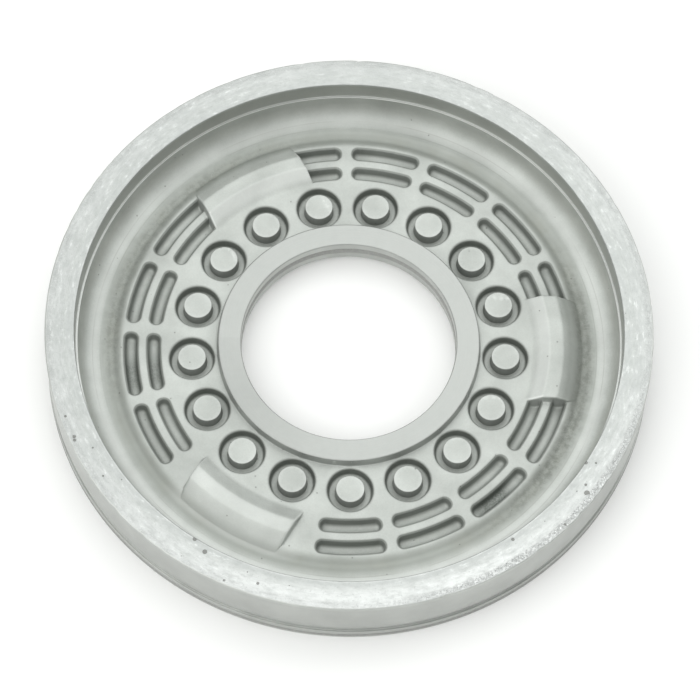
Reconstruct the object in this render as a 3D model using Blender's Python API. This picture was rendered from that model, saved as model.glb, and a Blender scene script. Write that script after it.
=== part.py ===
"""Clutch apply piston of an automatic transmission: one die-cast aluminium ring and its two lip seals.

Frame: metres, +Z up along the piston's axis, origin at the centre of the pressure face that it rests on.
The spring side, with the pockets, faces +Z.
"""

import math

import bmesh
import bpy
from mathutils import Vector

MM = 0.001

# Turned shape of the casting: radii and heights above the pressure face.
RIM_HEIGHT = 20.0 * MM
RIM_INNER_RADIUS = 74.4 * MM
SKIRT_RADIUS = 82.4 * MM
LAND_RADIUS = 82.6 * MM
LAND_HEIGHT = 3.7 * MM
UNDERCUT_RADIUS = 81.9 * MM
UNDERCUT_HEIGHT = 6.5 * MM
LEDGE_RADIUS = 73.4 * MM
LEDGE_HEIGHT = 13.8 * MM
GUTTER_HEIGHT = 6.4 * MM
GUTTER_FILLET = 5.4 * MM
VALLEY_OUTER_RADIUS = 66.6 * MM
VALLEY_RADIUS = 64.7 * MM
VALLEY_HEIGHT = 5.6 * MM
FLOOR_RADIUS = 62.9 * MM
FLOOR_HEIGHT = 6.6 * MM
RING_FOOT_RADIUS = 36.2 * MM
RING_RADIUS = 35.8 * MM
RING_HEIGHT = 9.3 * MM
BORE_RADIUS = 29.5 * MM
BORE_LEAD_IN = 1.9 * MM
EDGE_BREAK = 0.3 * MM
RELIEF_INNER_RADIUS = 37.5 * MM
RELIEF_OUTER_RADIUS = 74.5 * MM
RELIEF_DEPTH = 0.8 * MM

# Seal grooves: radius of the groove's floor, and the heights of its two sides.
INNER_GROOVE_RADIUS = 32.0 * MM
INNER_GROOVE_BOTTOM = 4.3 * MM
INNER_GROOVE_TOP = 6.7 * MM
OUTER_GROOVE_RADIUS = 80.0 * MM
OUTER_GROOVE_BOTTOM = 0.6 * MM
OUTER_GROOVE_TOP = 2.1 * MM
SEAL_GAP = 0.3 * MM
SEAL_PROUD = 0.1 * MM

# Section of a lip seal, in shares of the reach from its back to its lip and of its height.
SEAL_HEEL_END = 0.40
SEAL_NOTCH_REACH = 0.55
SEAL_NOTCH_HEIGHT = 0.45
SEAL_TOE_REACH = 0.85
SEAL_LIP_BAND = (0.10, 0.30)
SEAL_SHOULDER = 0.65

# Spring pockets, one round boss in the middle of each.
POCKET_COUNT = 17
POCKET_PITCH_RADIUS = 43.1 * MM
POCKET_RADIUS = 6.2 * MM
POCKET_FLOOR_HEIGHT = 3.7 * MM
BOSS_RADIUS = 3.8 * MM
BOSS_HEIGHT = 7.3 * MM
BOSS_ROOT_DEPTH = 1.5 * MM

# Curved slots outside the pockets, in two rows, on the pockets' angles.
SLOT_ROWS = ((51.3 * MM, 55.7 * MM), (57.5 * MM, 62.0 * MM))
SLOT_FLOOR_HEIGHT = 3.4 * MM
SLOT_HALF_ANGLE = math.radians(9.1)
SLOT_CORNER = 2.0 * MM
SLOT_RUN_ON = math.radians(2.0)

# Cast pads: arched blocks with parallel sides that bridge the slotted floor.
PAD_ANGLES = [math.radians(a) for a in (0, 120, 240)]
PAD_HALF_WIDTH = 15.5 * MM
PAD_CREST_HEIGHT = 9.5 * MM
PAD_CREST_RADII = (55.1 * MM, 58.8 * MM)
PAD_INNER_END = (50.3 * MM, 6.2 * MM)
PAD_OUTER_END = (65.0 * MM, 5.4 * MM)
PAD_BURIED_HEIGHT = 1.6 * MM

TURN_SEGMENTS = 64
FILLET_SEGMENTS = 5
POCKET_SEGMENTS = 16
SLOT_ARC_SEGMENTS = 4
PAD_SEGMENTS = 6
CUT_CLEARANCE = 3.0 * MM
SMOOTH_ANGLE = math.radians(30)

ALUMINIUM_LOOK = {"colour": (0.62, 0.63, 0.61), "roughness": 0.42, "metallic": 0.9}
RUBBER_LOOK = {"colour": (0.2, 0.2, 0.19), "roughness": 0.6, "metallic": 0.0}


def clear_scene():
    for existing in list(bpy.data.objects):
        bpy.data.objects.remove(existing, do_unlink=True)


def make_material(name, colour, roughness, metallic):
    material = bpy.data.materials.new(name)
    material.use_nodes = True
    shader = material.node_tree.nodes["Principled BSDF"]
    shader.inputs["Base Color"].default_value = (*colour, 1.0)
    shader.inputs["Roughness"].default_value = roughness
    shader.inputs["Metallic"].default_value = metallic
    return material


def polar(radius, angle, height):
    return Vector((radius * math.cos(angle), radius * math.sin(angle), height))


def arc(centre_radius, centre_height, radius, start, end, segments):
    """Points of a fillet in the (radius, height) half plane, both ends included."""
    points = []
    for step in range(segments + 1):
        angle = start + (end - start) * step / segments
        points.append((centre_radius + radius * math.cos(angle), centre_height + radius * math.sin(angle)))
    return points


def object_from_bmesh(name, mesh_builder):
    bmesh.ops.recalc_face_normals(mesh_builder, faces=mesh_builder.faces)
    mesh = bpy.data.meshes.new(name)
    mesh_builder.to_mesh(mesh)
    mesh_builder.free()
    result = bpy.data.objects.new(name, mesh)
    bpy.context.scene.collection.objects.link(result)
    return result


def turned_ring(name, profile):
    """A closed ring: the closed profile of (radius, height) points turned about the Z axis."""
    builder = bmesh.new()
    rows = []
    for step in range(TURN_SEGMENTS):
        angle = 2 * math.pi * step / TURN_SEGMENTS
        rows.append([builder.verts.new(polar(radius, angle, height)) for radius, height in profile])
    for step, row in enumerate(rows):
        following = rows[(step + 1) % TURN_SEGMENTS]
        for index in range(len(profile)):
            after = (index + 1) % len(profile)
            builder.faces.new((row[index], following[index], following[after], row[after]))
    return object_from_bmesh(name, builder)


def add_prism(builder, outline, bottom, top):
    """Adds a closed upright prism over a closed outline of (x, y) points."""
    low = [builder.verts.new((x, y, bottom)) for x, y in outline]
    high = [builder.verts.new((x, y, top)) for x, y in outline]
    builder.faces.new(low)
    builder.faces.new(high)
    for index in range(len(outline)):
        after = (index + 1) % len(outline)
        builder.faces.new((low[index], low[after], high[after], high[index]))


def circle_outline(centre, radius):
    steps = [2 * math.pi * step / POCKET_SEGMENTS for step in range(POCKET_SEGMENTS)]
    return [(centre.x + radius * math.cos(a), centre.y + radius * math.sin(a)) for a in steps]


def slot_span(angle):
    """A slot's two end angles. A slot that ends beside a pad runs on into the pad's side."""
    span = [angle - SLOT_HALF_ANGLE, angle + SLOT_HALF_ANGLE]
    pad_half_angle = math.asin(PAD_HALF_WIDTH / PAD_CREST_RADII[0])
    for pad in PAD_ANGLES:
        offset = math.remainder(pad - angle, 2 * math.pi)
        if abs(offset) < SLOT_HALF_ANGLE + pad_half_angle:
            side = 1 if offset > 0 else 0
            span[side] += math.copysign(SLOT_RUN_ON, offset)
    return span


def slot_outline(angle, inner_radius, outer_radius):
    """A curved slot's outline: two arcs about the axis, with the corners cut off."""
    low_angle, high_angle = slot_span(angle)
    outline = []
    for radius, inset, direction in ((inner_radius, SLOT_CORNER, 1), (outer_radius, -SLOT_CORNER, -1)):
        trim = SLOT_CORNER / radius
        start, end = (low_angle, high_angle) if direction > 0 else (high_angle, low_angle)
        first = start + direction * trim
        last = end - direction * trim
        outline.append(polar(radius + inset, start, 0).xy)
        for step in range(SLOT_ARC_SEGMENTS + 1):
            turn = first + (last - first) * step / SLOT_ARC_SEGMENTS
            outline.append(polar(radius, turn, 0).xy)
        outline.append(polar(radius + inset, end, 0).xy)
    return outline


def pocket_angles():
    """The pockets are evenly spaced, and the pad at 240 degrees stands midway between two of them."""
    pitch = 2 * math.pi / POCKET_COUNT
    first = PAD_ANGLES[2] + pitch / 2
    return [first + pitch * index for index in range(POCKET_COUNT)]


def is_clear_of_pads(angle):
    """True where a slot's centre lies outside every pad."""
    pad_half_angle = math.asin(PAD_HALF_WIDTH / PAD_CREST_RADII[0])
    offsets = [abs(math.remainder(angle - pad, 2 * math.pi)) for pad in PAD_ANGLES]
    return min(offsets) > pad_half_angle


def recess_cutter():
    """Every pocket and every slot, as separate prisms in one cutter."""
    builder = bmesh.new()
    top = RING_HEIGHT + CUT_CLEARANCE
    for angle in pocket_angles():
        centre = polar(POCKET_PITCH_RADIUS, angle, 0)
        add_prism(builder, circle_outline(centre, POCKET_RADIUS), POCKET_FLOOR_HEIGHT, top)
        if is_clear_of_pads(angle):
            for inner_radius, outer_radius in SLOT_ROWS:
                outline = slot_outline(angle, inner_radius, outer_radius)
                add_prism(builder, outline, SLOT_FLOOR_HEIGHT, top)
    return as_helper(object_from_bmesh("recess_cutter", builder))


def boss_helper():
    """The round bosses, rooted a little below the pockets' floor."""
    builder = bmesh.new()
    root_height = POCKET_FLOOR_HEIGHT - BOSS_ROOT_DEPTH
    for angle in pocket_angles():
        centre = polar(POCKET_PITCH_RADIUS, angle, 0)
        add_prism(builder, circle_outline(centre, BOSS_RADIUS), root_height, BOSS_HEIGHT)
    return as_helper(object_from_bmesh("boss_helper", builder))


def pad_helper():
    """The three pads: an arched profile turned about the axis, trimmed to parallel sides."""
    stations = [PAD_INNER_END]
    stations += [(radius, PAD_CREST_HEIGHT) for radius in PAD_CREST_RADII]
    stations.append(PAD_OUTER_END)
    builder = bmesh.new()
    for pad in PAD_ANGLES:
        top = []
        bottom = []
        for radius, height in stations:
            half_angle = math.asin(PAD_HALF_WIDTH / radius)
            turns = [pad + half_angle * (2 * k / PAD_SEGMENTS - 1) for k in range(PAD_SEGMENTS + 1)]
            top.append([builder.verts.new(polar(radius, turn, height)) for turn in turns])
            bottom.append([builder.verts.new(polar(radius, turn, PAD_BURIED_HEIGHT)) for turn in turns])
        for index in range(len(stations) - 1):
            for step in range(PAD_SEGMENTS):
                for rows in (top, bottom):
                    near, far = rows[index], rows[index + 1]
                    builder.faces.new((near[step], near[step + 1], far[step + 1], far[step]))
            for side in (0, PAD_SEGMENTS):
                upper = (top[index][side], top[index + 1][side])
                lower = (bottom[index + 1][side], bottom[index][side])
                builder.faces.new(upper + lower)
        for end in (0, len(stations) - 1):
            for step in range(PAD_SEGMENTS):
                corners = (top[end][step], top[end][step + 1], bottom[end][step + 1], bottom[end][step])
                builder.faces.new(corners)
    return as_helper(object_from_bmesh("pad_helper", builder))


def as_helper(helper):
    helper.hide_render = True
    helper.display_type = "WIRE"
    return helper


def combine(target, helper, operation):
    modifier = target.modifiers.new(helper.name, "BOOLEAN")
    modifier.operation = operation
    modifier.solver = "EXACT"
    modifier.object = helper


def pressure_face_profile():
    """From the bore's lead-in outward over the shallow relief to the skirt."""
    return [
        (BORE_RADIUS + BORE_LEAD_IN, 0.0),
        (RELIEF_INNER_RADIUS - RELIEF_DEPTH, 0.0),
        (RELIEF_INNER_RADIUS, RELIEF_DEPTH),
        (RELIEF_OUTER_RADIUS, RELIEF_DEPTH),
        (RELIEF_OUTER_RADIUS + RELIEF_DEPTH, 0.0),
    ]


def skirt_profile():
    """Up the outside: lower land, seal groove, upper land, undercut and plain skirt."""
    return [
        (LAND_RADIUS - EDGE_BREAK, 0.0),
        (LAND_RADIUS, EDGE_BREAK),
        (LAND_RADIUS, OUTER_GROOVE_BOTTOM),
        (OUTER_GROOVE_RADIUS, OUTER_GROOVE_BOTTOM),
        (OUTER_GROOVE_RADIUS, OUTER_GROOVE_TOP),
        (LAND_RADIUS, OUTER_GROOVE_TOP),
        (LAND_RADIUS, LAND_HEIGHT),
        (UNDERCUT_RADIUS, LAND_HEIGHT),
        (SKIRT_RADIUS, UNDERCUT_HEIGHT),
        (SKIRT_RADIUS, RIM_HEIGHT - EDGE_BREAK),
    ]


def dish_profile():
    """Across the rim and down the inside of the dish to the floor."""
    fillet_radius = LEDGE_RADIUS - GUTTER_FILLET
    fillet_height = GUTTER_HEIGHT + GUTTER_FILLET
    fillet = arc(fillet_radius, fillet_height, GUTTER_FILLET, 0.0, -math.pi / 2, FILLET_SEGMENTS)
    return [
        (SKIRT_RADIUS - EDGE_BREAK, RIM_HEIGHT),
        (RIM_INNER_RADIUS, RIM_HEIGHT),
        (RIM_INNER_RADIUS, LEDGE_HEIGHT),
        (LEDGE_RADIUS, LEDGE_HEIGHT),
        *fillet,
        (VALLEY_OUTER_RADIUS, GUTTER_HEIGHT),
        (VALLEY_RADIUS, VALLEY_HEIGHT),
        (FLOOR_RADIUS, FLOOR_HEIGHT),
    ]


def hub_profile():
    """Over the raised ring and down the bore, past the inner seal groove."""
    return [
        (RING_FOOT_RADIUS, FLOOR_HEIGHT),
        (RING_RADIUS, RING_HEIGHT - EDGE_BREAK),
        (RING_RADIUS - EDGE_BREAK, RING_HEIGHT),
        (BORE_RADIUS + EDGE_BREAK, RING_HEIGHT),
        (BORE_RADIUS, RING_HEIGHT - EDGE_BREAK),
        (BORE_RADIUS, INNER_GROOVE_TOP),
        (INNER_GROOVE_RADIUS, INNER_GROOVE_TOP),
        (INNER_GROOVE_RADIUS, INNER_GROOVE_BOTTOM),
        (BORE_RADIUS, INNER_GROOVE_BOTTOM),
        (BORE_RADIUS, BORE_LEAD_IN),
    ]


def make_casting():
    profile = pressure_face_profile() + skirt_profile() + dish_profile() + hub_profile()
    casting = turned_ring("piston_casting", profile)
    combine(casting, recess_cutter(), "DIFFERENCE")
    combine(casting, pad_helper(), "UNION")
    combine(casting, boss_helper(), "UNION")
    return casting


def make_seal(name, groove_radius, lip_radius, bottom, top):
    """A lip seal: a square heel at the back of its groove, and a lip that leans to the pressure side."""
    toward_lip = math.copysign(1.0, lip_radius - groove_radius)
    low = bottom + SEAL_GAP
    high = top - SEAL_GAP
    height = high - low
    heel_back = groove_radius + toward_lip * SEAL_GAP
    lip_reach = lip_radius - heel_back
    profile = [
        (heel_back, low),
        (heel_back + SEAL_HEEL_END * lip_reach, low),
        (heel_back + SEAL_NOTCH_REACH * lip_reach, low + SEAL_NOTCH_HEIGHT * height),
        (heel_back + SEAL_TOE_REACH * lip_reach, low),
        (lip_radius, low + SEAL_LIP_BAND[0] * height),
        (lip_radius, low + SEAL_LIP_BAND[1] * height),
        (heel_back + SEAL_SHOULDER * lip_reach, high),
        (heel_back, high),
    ]
    return turned_ring(name, profile)


def finish(part, material):
    part.data.materials.append(material)
    part.data.shade_smooth()
    part.data.set_sharp_from_angle(angle=SMOOTH_ANGLE)


def main():
    clear_scene()
    aluminium = make_material("cast_aluminium", **ALUMINIUM_LOOK)
    rubber = make_material("seal_rubber", **RUBBER_LOOK)
    finish(make_casting(), aluminium)
    inner_seal = make_seal(
        "inner_lip_seal",
        INNER_GROOVE_RADIUS,
        BORE_RADIUS - SEAL_PROUD,
        INNER_GROOVE_BOTTOM,
        INNER_GROOVE_TOP,
    )
    finish(inner_seal, rubber)
    outer_seal = make_seal(
        "outer_lip_seal",
        OUTER_GROOVE_RADIUS,
        LAND_RADIUS + SEAL_PROUD,
        OUTER_GROOVE_BOTTOM,
        OUTER_GROOVE_TOP,
    )
    finish(outer_seal, rubber)


main()
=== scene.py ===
"""Clutch apply piston of an automatic transmission: the finished look, its studio and its camera.

The casting is one closed mesh. Its dish floor, with the pockets, bosses, slots and pads, is a triangulated
height field over loops that follow every edge. The rest is one profile turned about the Z axis. Lengths are
in millimetres and angles in radians, unless a comment says otherwise.
"""
import math
import random
from collections import namedtuple

import bpy
import numpy as np
from mathutils import Matrix, Vector
from mathutils.geometry import delaunay_2d_cdt


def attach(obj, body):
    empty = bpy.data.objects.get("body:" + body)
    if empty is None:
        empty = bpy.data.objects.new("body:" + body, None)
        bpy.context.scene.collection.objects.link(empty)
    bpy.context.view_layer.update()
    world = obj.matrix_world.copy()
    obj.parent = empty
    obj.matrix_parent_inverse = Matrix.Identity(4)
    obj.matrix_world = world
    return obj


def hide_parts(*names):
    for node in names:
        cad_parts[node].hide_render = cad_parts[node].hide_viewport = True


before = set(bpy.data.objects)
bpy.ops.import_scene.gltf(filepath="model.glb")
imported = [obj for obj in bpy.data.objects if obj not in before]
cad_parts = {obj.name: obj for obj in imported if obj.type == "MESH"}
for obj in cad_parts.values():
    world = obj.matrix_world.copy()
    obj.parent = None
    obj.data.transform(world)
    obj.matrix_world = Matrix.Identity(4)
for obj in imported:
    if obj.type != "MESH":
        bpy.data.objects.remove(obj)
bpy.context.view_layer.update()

MM = 0.001
TAU = 2 * math.pi
NOWHERE = -9.0  # a height or depth far below any real one


# ---------------------------------------------------------------- sizes

FLOOR = 6.6
GUTTER = 6.3
RING_TOP = 9.3
LEDGE = 13.8
RIM_TOP = 20.0
INNER_GROOVE = 32.0
OUTER_GROOVE = 80.0

# The dish floor is a field between two circles. SEAM is how near a point on one of them lies to it.
FIELD_INNER = 34.8
FIELD_OUTER = 67.4
SEAM = 0.005
RING_TOP_EDGE = 35.88

# The soft valley between the dish floor and the gutter.
VALLEY_START = 62.2
VALLEY_MIDDLE = 64.9
VALLEY_HEIGHT = 5.85
VALLEY_STEPS = 20

# Profiles as (radius, height, corner rounding), and for the body the skin from each corner to the next.
FIELD_PROFILE = [
    (FIELD_INNER, RING_TOP, 0.0),
    (35.8, RING_TOP, 0.35),
    (36.15, FLOOR, 0.35),
    (VALLEY_START, FLOOR, 0.0),
]
BODY_PROFILE = [
    (FIELD_OUTER, GUTTER, 0.0, "cast"),
    (73.4, GUTTER, 5.4, "cast"),
    (73.8, LEDGE, 0.22, "turned"),
    (74.4, LEDGE, 0.15, "turned"),
    (74.4, RIM_TOP, 0.30, "rim"),
    (82.4, RIM_TOP, 0.35, "turned"),
    (82.4, 6.5, 0.30, "turned"),
    (81.9, 3.7, 0.15, "turned"),
    (82.6, 3.7, 0.15, "turned"),
    (82.6, 2.1, 0.10, "turned"),
    (OUTER_GROOVE, 2.1, 0.20, "turned"),
    (OUTER_GROOVE, 0.6, 0.20, "turned"),
    (82.6, 0.6, 0.10, "turned"),
    (82.6, 0.0, 0.30, "turned"),
    (75.3, 0.0, 0.20, "cast"),
    (74.5, 0.8, 0.30, "cast"),
    (37.5, 0.8, 0.30, "cast"),
    (36.7, 0.0, 0.20, "turned"),
    (31.4, 0.0, 0.20, "turned"),
    (29.5, 1.9, 0.30, "turned"),
    (29.5, 4.3, 0.10, "turned"),
    (INNER_GROOVE, 4.3, 0.20, "turned"),
    (INNER_GROOVE, 6.7, 0.20, "turned"),
    (29.5, 6.7, 0.10, "turned"),
    (29.5, RING_TOP, 0.35, "turned"),
    (FIELD_INNER, RING_TOP, 0.0, "turned"),
]
SKINS = {"cast": 0, "turned": 1, "rim": 2}

# How roundings are drawn: the steps in each, and at most this share of a neighbouring side.
ROUND_STEPS = 5
ROUND_SHARE = 0.498
BODY_ROUND_SHARE = 0.92
WIDE_ROUNDING = 3
WIDE_ROUND_FACTOR = 5

BODY_SEGMENTS = 720
FIELD_SEGMENTS = 360
SEAL_SEGMENTS = 360
POCKET_SEGMENTS = 64

# Pockets and bosses. A side is (rounding of its upper edge, width of its steep wall, rounding of its foot).
POCKET_COUNT = 17
POCKET_PITCH = 43.1
POCKET_EDGE = 6.85
POCKET_FLOOR = 3.7
POCKET_SIDE = (0.8, 0.15, 0.6)
BOSS_TOP = 7.3
BOSS_FLAT = 3.6
BOSS_ROUND = 0.25
BOSS_REACH = 5.0
DRAFT = 0.15

# Slots.
SLOT_ROWS = ((50.95, 56.05), (57.15, 62.35))
SLOT_HALF_ANGLE = math.radians(9.75)
SLOT_RUN_ON = math.radians(2.0)
SLOT_CORNER = 2.45
SLOT_FLOOR = 3.4
SLOT_SIDE = (0.95, 0.2, 1.25)

# Pads. The blend fills the crease where a pad's inner ramp leaves the floor.
PAD_ANGLES = [math.radians(a) for a in (0, 120, 240)]
PAD_HALF_WIDTH = 15.5
PAD_CREST = 9.5
PAD_CREST_RADIUS = 55.1
PAD_INNER_END = 49.4
PAD_ARCH = [
    (PAD_INNER_END, 5.66, 0.0),
    (PAD_CREST_RADIUS, PAD_CREST, 1.6),
    (58.8, PAD_CREST, 1.6),
    (65.3, 5.2, 0.0),
]
PAD_ARCH_STEPS = 8
PAD_EDGE_ROUND = 0.8
PAD_FOOT_ROUND = 0.5
PAD_FALL = 8.0
PAD_BLEND = 0.45
PAD_BLEND_END = 53.0

# Extra loops of the field, and the filling points between them.
EXTRA_CIRCLES = [34.9, 35.1, 36.75]
OUTSIDE_LOOPS = [-0.3, -0.15]
EDGE_SHARES = (0, 0.15, 0.35, 0.6, 0.82, 0.95, 1)
FOOT_SHARES = (0, 0.05, 0.15, 0.32, 0.55, 0.8, 1)
POCKET_FLOOR_LOOP = 1.7
BOSS_FOOT_SHARES = (1.3, 1, 0.6, 0.3, 0.1, 0)
BOSS_EDGE_SHARES = (1, 0.95, 0.8, 0.55, 0.3, 0, -0.25)
BOSS_TOP_LOOPS = [2.4, 1.2]
PAD_EDGE_SHARES = (1.25, 1, 0.7, 0.4, 0.18, 0.05, 0)
PAD_FOOT_SHARES = (0.1, 0.3, 0.6, 1, 1.3)
PAD_LINE_END = 65.4
PAD_LINE_STEP = 0.6
PAD_CIRCLES = [49.5, 49.9, 50.2, 50.5, 50.8, 51.1, 51.5, 52.0, 52.6, 53.6, 57.0, 60.8, 61.8, 64.9]
PAD_CIRCLE_OVERHANG = 0.7
PAD_CIRCLE_POINTS = 34
SLOT_CORNER_POINTS = 7
SLOT_ARC_POINTS = 16
FILL_START = 37.2
FILL_RING_GAP = 0.9
FILL_POINT_GAP = 1.1
MERGE_DISTANCE = 1e-4
SLOPE_STEP = 0.025

# Marks along edges: bell curves of (middle, width, strength) over the distance from an edge or a centre.
# The next four paint shade on the walls of slots and pockets and at the bosses' feet.
SLOT_WALL_SHADE = (1.05, 0.4, 0.75)
SLOT_EDGE_SHADE = (0.6, 0.16, 1.0)
POCKET_WALL_SHADE = (0.85, 0.45, 1.0)
BOSS_FOOT_SHADE = (4.15, 0.4, 0.44)
# The next two paint highlight on the edges of bosses and pads.
BOSS_EDGE_HIGHLIGHT = (BOSS_FLAT, 0.14, 0.4)
PAD_EDGE_HIGHLIGHT = (0.3, 0.22, 1.0)
SHADE_TOP = FLOOR + 0.02
PAD_HIGHLIGHT_BOTTOM = FLOOR + 0.4

# Nicks in the rim's outer edge. Places, spreads and widths are in degrees.
NICK_SEED = 7
NICK_COUNT = 150
NICK_EDGE = (81.9, 19.5)
NICKS_NEAR_RIGHT = ((305, 16), (318, 12))
NICKS_NEAR_LEFT = (215, 14)
NICK_WIDTHS = (0.4, 1.3)
NICK_DEPTHS = (0.03, 0.16)
NICK_REACH = 2
NICK_STEADY_SHARE = 0.6
NICK_DROP = 0.7
COLUMNS_PER_DEGREE = BODY_SEGMENTS // 360

# Seals: groove floor radius, lip radius, lower and upper side. Their section is given from heel to lip and
# from the lower to the upper side, as (share of the reach, share of the height, rounding).
SEALS = {"inner_lip_seal": (INNER_GROOVE, 29.4, 4.6, 6.4), "outer_lip_seal": (OUTER_GROOVE, 82.7, 0.9, 1.8)}
SEAL_GAP = 0.3
SEAL_ROUND_STEPS = 4
SEAL_SECTION = [
    (0.0, 0.0, 0.12),
    (0.42, 0.0, 0.12),
    (0.56, 0.42, 0.15),
    (0.84, 0.0, 0.06),
    (1.0, 0.08, 0.05),
    (1.0, 0.30, 0.08),
    (0.66, 1.0, 0.25),
    (0.0, 1.0, 0.12),
]


# ---------------------------------------------------------------- tones of the skins

# Noises are (scale in cycles per millimetre, detail, roughness). Ramps are lists of (value, tone).
CAST_MOTTLE = (0.09, 5.0, 0.55)
CAST_GRAIN = (2.2, 3.0, 0.7)
CAST_BASE = [(0.30, (0.485, 0.508, 0.482)), (0.70, (0.625, 0.652, 0.622))]
CAST_GRAIN_TONES = [(0.3, 0.62), (0.72, 1.0)]
CAST_GRAIN_SHARE = 0.38
CAST_ROUGHNESS = [(0.3, 0.50), (0.7, 0.66)]
CAST_LUMPS = (0.6, 2.0, 0.55)
CAST_LUMPS_RELIEF = 1.6
CAST_BUMP = 0.03
CAST_METALLIC = 0.55

# Painted shade with some dirt: darker lower down in the recesses and the valley, broken up by noise.
SHADE_AND_DIRT_HEIGHTS = (2.6, 6.4)
SHADE_AND_DIRT_NOISE = (0.28, 4.0, 0.65)
SHADE_AND_DIRT_RAMP = [(0.35, 0.25), (0.62, 1.0)]
SHADE_AND_DIRT_SHARE = 0.25
SHADE_AND_DIRT_COLOUR = (0.30, 0.315, 0.285)

# Upright walls inside the field get painted shade, darker the steeper they stand. The ramp runs over how
# level a face is.
WALL_HEIGHTS = (2.0, 9.2, 0.3)
BEYOND_FIELD = (67.4, 90.0, 0.5)
WALL_SHADE_TONES = [(0.05, 0.66), (0.45, 0.80), (0.75, 1.0)]

# Painted highlight on the edges of bosses and pads.
EDGE_HIGHLIGHT_SHARE = 0.30
EDGE_HIGHLIGHT_COLOUR = (0.93, 0.95, 0.93)
# Painted shade on the walls of slots and pockets and at the bosses' feet.
WALL_SHADE_SHARE = 0.68
WALL_SHADE_COLOUR = (0.16, 0.175, 0.155)

PIT_CELLS = 0.42
PIT_RADIUS = 0.10
PIT_RARITY = 0.8
PIT_SHARE = 0.5
PIT_COLOUR = (0.16, 0.16, 0.15)
PIT_RELIEF = 2.0

# A painted tone lies where radius, height and angle are within their bands of (low, high, softness), or
# anywhere for None. Its mask, where it names one, breaks it up. The share is how much of it is mixed in.
Tone = namedtuple("Tone", "radius height angle mask share colour")

VALLEY_BAND = ((62.9, 67.2, 1.3), (4.0, 7.6, 1.0))
GUTTER_BAND = (68.5, 76.0, 1.0)
STAIN = (0.16, 0.17, 0.15)
SLOT_DEPTHS = (2.0, 5.6, 0.3)
SLOT_STAIN = (0.09, 0.105, 0.09)
SCRIBED = (0.28, 0.285, 0.26)
CAST_MASKS = {
    "blotches": ((0.55, 5.0, 0.72), [(0.42, 0.35), (0.60, 1.0)]),
    "flow": ((0.12, 3.0, 0.55), [(0.42, 0.25), (0.66, 1.0)]),
    "grain": (CAST_GRAIN, [(0.3, 0.4), (0.6, 1.0)]),
    "stretches": ((0.05, 2.0, 0.55), [(0.45, 0.0), (0.6, 1.0)]),
}
CAST_TONES = {
    # Painted shade in the crease at the foot of the hub ring.
    "painted shade at the hub ring's foot": Tone((35.9, 36.6, 0.2), (5.0, 8.3, 0.4), None, None, 0.12, (0.07, 0.075, 0.07)),
    # Painted shade with some dirt darkens the whole valley; the flow and stains below are the casting's own.
    "valley": Tone(*VALLEY_BAND, None, None, 0.60, (0.29, 0.31, 0.285)),
    "flow in the valley": Tone(*VALLEY_BAND, None, "flow", 0.35, (0.33, 0.335, 0.29)),
    "valley stain, far left": Tone(*VALLEY_BAND, (1.9, 9.0, 0.4), "blotches", 0.40, STAIN),
    "valley stain, left": Tone(*VALLEY_BAND, (-9.0, -2.9, 0.2), "blotches", 0.40, STAIN),
    "valley stain, right": Tone(*VALLEY_BAND, (-0.85, 0.4, 0.25), "blotches", 0.64, STAIN),
    # Painted light on the gutter's rising band.
    "painted light on the gutter's rising band": Tone((68.6, 71.2, 0.7), None, None, None, 0.20, (0.88, 0.89, 0.87)),
    # Painted shade on the wall under the ledge.
    "painted shade under the ledge": Tone((72.2, 76.0, 0.8), (7.4, 15.0, 0.8), None, None, 0.24, (0.22, 0.21, 0.175)),
    # Painted shade on the gutter's far side.
    "painted shade on the gutter's far side": Tone(GUTTER_BAND, None, (0.95, 2.5, 0.5), None, 0.24, (0.20, 0.21, 0.195)),
    # Painted light on the gutter's near side.
    "painted light on the gutter's near side": Tone(GUTTER_BAND, None, (-2.6, -0.9, 0.5), None, 0.25, (0.85, 0.87, 0.85)),
    "right slot": Tone((57.0, 62.2, 0.5), SLOT_DEPTHS, (-0.92, -0.74, 0.04), "grain", 0.75, SLOT_STAIN),
    "left slot": Tone((51.0, 62.2, 0.5), SLOT_DEPTHS, (-3.06, -2.90, 0.04), "grain", 0.55, SLOT_STAIN),
    "inner scribed line": Tone((68.0, 68.2, 0.1), None, None, "stretches", 0.40, SCRIBED),
    "outer scribed line": Tone((70.1, 70.25, 0.1), None, None, "stretches", 0.40, SCRIBED),
    # Painted light on the inner ramps of two pads.
    "painted light on two pads' inner ramps": Tone((50.0, 55.2, 0.3), (7.3, 12.0, 0.6), (-0.5, 2.6, 0.1), None, 0.28, (0.88, 0.90, 0.88)),
    # The right pad's outer slope is darker.
    "darker outer slope of the right pad": Tone((60.2, 66.5, 0.6), None, (-0.31, 0.31, 0.03), None, 0.26, (0.20, 0.21, 0.19)),
    # Painted light on the near left pad's crest and outer slope.
    "painted light on the near left pad's crest": Tone((55.0, 65.5, 1.0), None, (-2.38, -1.81, 0.06), None, 0.22, (0.90, 0.92, 0.90)),
}

# Lathe lines run over radius and height together, so that flat faces and upright walls both have them.
LATHE_HEIGHT_SHARE = 0.83
LATHE_FINE = {"Scale": 4.5, "Detail": 3.0}
LATHE_BROAD = {"Scale": 0.55, "Detail": 2.0}
LATHE_BROAD_RELIEF = 1.2
LATHE_TONES = [(0.3, 0.7), (0.7, 1.0)]
LATHE_SHARE = 0.25
TURNED_MOTTLE = (0.10, 5.0, 0.6)
TURNED_BASE = [(0.34, (0.46, 0.475, 0.456)), (0.68, (0.55, 0.567, 0.546))]
RIM_BASE = [(0.36, (0.42, 0.434, 0.424)), (0.66, (0.55, 0.566, 0.554))]
TURNED_ROUGHNESS = [(0.35, 0.30), (0.65, 0.46)]
TURNED_BUMP = 0.02
TURNED_METALLIC = 0.9

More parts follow.
